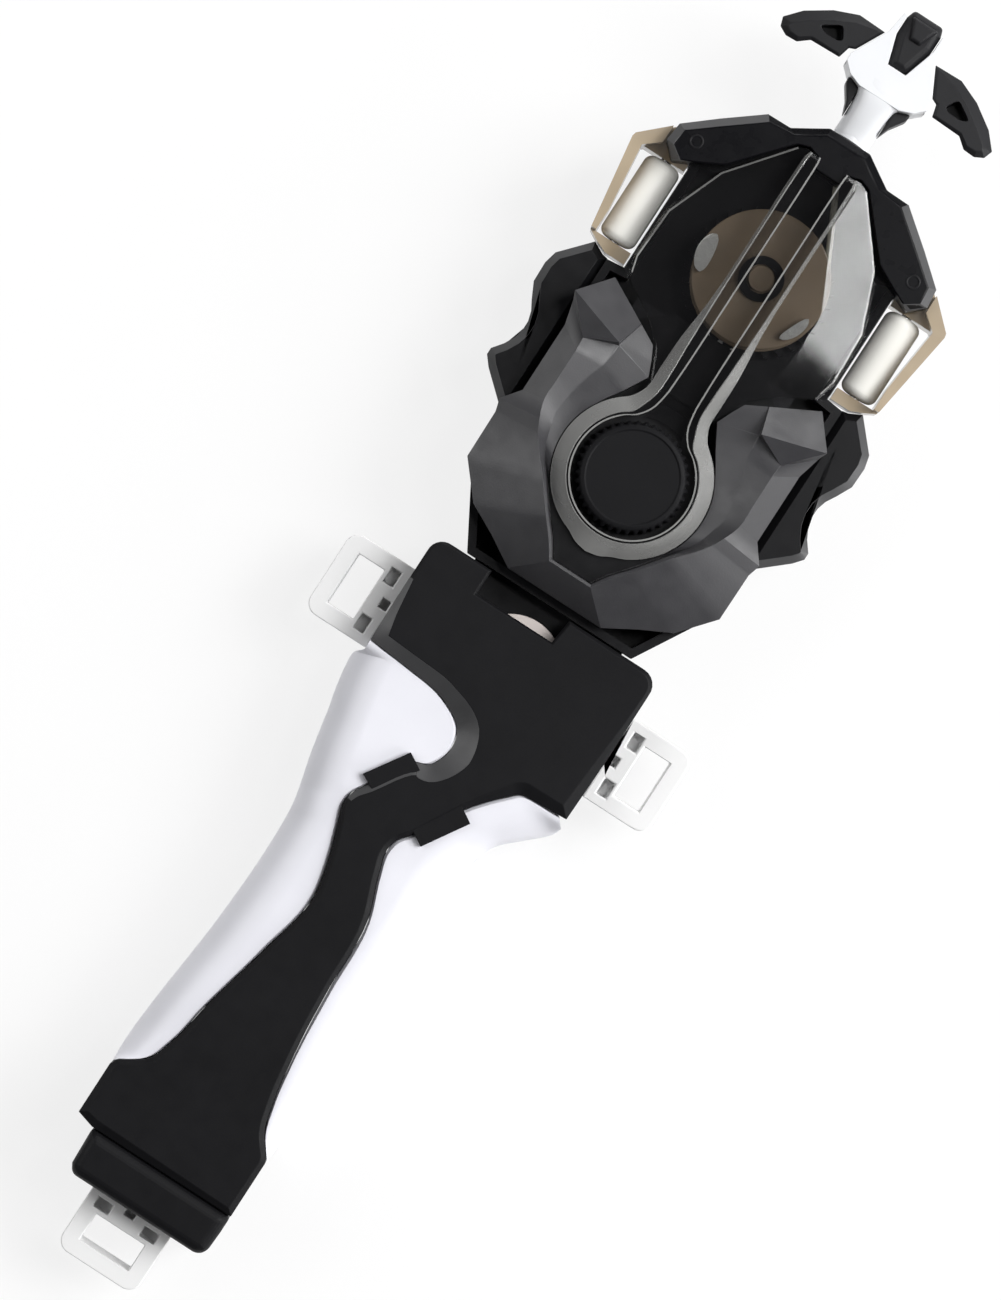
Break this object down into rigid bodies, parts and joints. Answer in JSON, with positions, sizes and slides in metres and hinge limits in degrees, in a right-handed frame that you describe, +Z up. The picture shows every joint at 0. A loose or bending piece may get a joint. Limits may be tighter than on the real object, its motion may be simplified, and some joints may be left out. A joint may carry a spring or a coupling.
{
  "type": "spinning top launcher",
  "caption": "Pull-cord spinning top launcher with a see-through gear window, side rollers and a selector knob, locked in a two-tone hand grip with lanyard loops.",
  "frame": {"origin": "centre of the launch cup's mouth, in the plane of its rim, which is the plane that the part lies on", "axes": "+Y along the object towards the pull handle, +Z up out of the cup's back to the window, -Z out of the cup's mouth"},
  "size_m": [0.0752, 0.2736, 0.0362],
  "materials": {
    "black_case": "moulded black plastic",
    "charcoal_cover": "fine-grained charcoal plastic",
    "smoke_clear": "clear smoke-tinted plastic",
    "brown_clear": "clear brown-tinted plastic",
    "black_knob": "matte black plastic",
    "black_handle": "moulded black plastic",
    "black_grip": "soft-touch black plastic",
    "white_plastic": "satin white plastic",
    "white_loop": "satin white plastic",
    "white_roller": "smooth ivory-white plastic",
    "white_nylon": "natural nylon",
    "cream_nylon": "cream nylon",
    "steel": "plain steel",
    "black_steel": "blackened steel",
    "brass": "sintered brass",
    "cord": "braided cream cord"
  },
  "bodies": {
    "launcher": {"launcher_base": "black_case", "launch_cup": "black_case", "cup_roof": "black_case", "case_screws": "steel", "left_wing": "black_case", "right_wing": "black_case", "top_cover": "charcoal_cover", "front_bezel": "black_case", "smoke_window": "smoke_clear", "knob_collar": "smoke_clear", "knob_seat": "charcoal_cover", "detent_spring": "steel", "left_bracket": "brown_clear", "right_bracket": "brown_clear", "roller_axles": "steel", "reel_axle": "steel", "cord_lead": "cord", "cord_eyelet": "cream_nylon", "bearing_plate": "black_steel", "upper_bush": "brass", "lower_bush": "brass", "grip_lower_shell": "black_grip", "grip_upper_shell": "black_grip", "grip_screws": "steel", "thumb_panel": "white_plastic", "finger_panel": "white_plastic", "grip_end_cap": "black_grip", "left_loop": "white_loop", "right_loop": "white_loop", "butt_loop": "white_loop", "lock_spring": "steel"},
    "handle": {"handle_hub": "white_plastic", "handle_bar": "black_handle", "handle_cap": "black_handle", "handle_gussets": "black_handle", "handle_screw": "steel", "cord_end": "cord"},
    "reel": {"cord_reel": "brown_clear", "reel_gear": "black_case", "reel_ring": "black_case", "mainspring": "steel", "cord_winding": "cord"},
    "chuck": {"chuck_gear": "white_nylon", "chuck_spindle": "steel", "launch_chuck": "black_case", "plunger_spring": "steel"},
    "plunger": {"centre_plunger": "white_nylon"},
    "selector": {"selector_knob": "black_knob", "selector_shaft": "steel"},
    "slider": {"direction_slider": "white_nylon"},
    "left_roller": {"left_roller": "white_roller"},
    "right_roller": {"right_roller": "white_roller"},
    "lock": {"lock_button": "white_plastic"}
  },
  "joints": [
    {"name": "handle_pull", "type": "slide", "parent": "launcher", "child": "handle", "axis": [0, 1, 0], "range_m": [0, 0.5], "stiffness_N_per_m": 4, "springref_m": -0.5},
    {"name": "reel_spin", "type": "hinge", "parent": "launcher", "child": "reel", "pos_m": [0, 0.0228, 0.024], "axis": [0, 0, 1], "range_deg": [0, 2729]},
    {"name": "chuck_spin", "type": "hinge", "parent": "launcher", "child": "chuck", "pos_m": [0, 0, 0.015], "axis": [0, 0, 1], "range_deg": [-3752, 0]},
    {"name": "plunger_press", "type": "slide", "parent": "chuck", "child": "plunger", "axis": [0, 0, 1], "range_m": [0, 0.0012], "stiffness_N_per_m": 300, "springref_m": -0.001, "deforming": ["plunger_spring"]},
    {"name": "selector_turn", "type": "hinge", "parent": "launcher", "child": "selector", "pos_m": [0, -0.0202, 0.03], "axis": [0, 0, 1], "range_deg": [0, 60]},
    {"name": "slider_shift", "type": "slide", "parent": "launcher", "child": "slider", "axis": [1, 0, 0], "range_m": [0, 0.00503]},
    {"name": "left_roller_spin", "type": "hinge", "parent": "launcher", "child": "left_roller", "pos_m": [-0.0261, 0.023, 0.022], "axis": [0, 1, 0], "continuous": true},
    {"name": "right_roller_spin", "type": "hinge", "parent": "launcher", "child": "right_roller", "pos_m": [0.0261, 0.023, 0.022], "axis": [0, 1, 0], "continuous": true},
    {"name": "lock_press", "type": "slide", "parent": "launcher", "child": "lock", "axis": [0, 0, -1], "range_m": [0, 0.0014], "stiffness_N_per_m": 300, "springref_m": -0.001, "deforming": ["lock_spring"]}
  ],
  "couplings": [
    {"joint": "reel_spin", "follows": "handle_pull", "rad_per_m": 95.238},
    {"joint": "chuck_spin", "follows": "handle_pull", "rad_per_m": -130.95},
    {"joint": "slider_shift", "follows": "selector_turn", "m_per_rad": 0.0048}
  ]
}
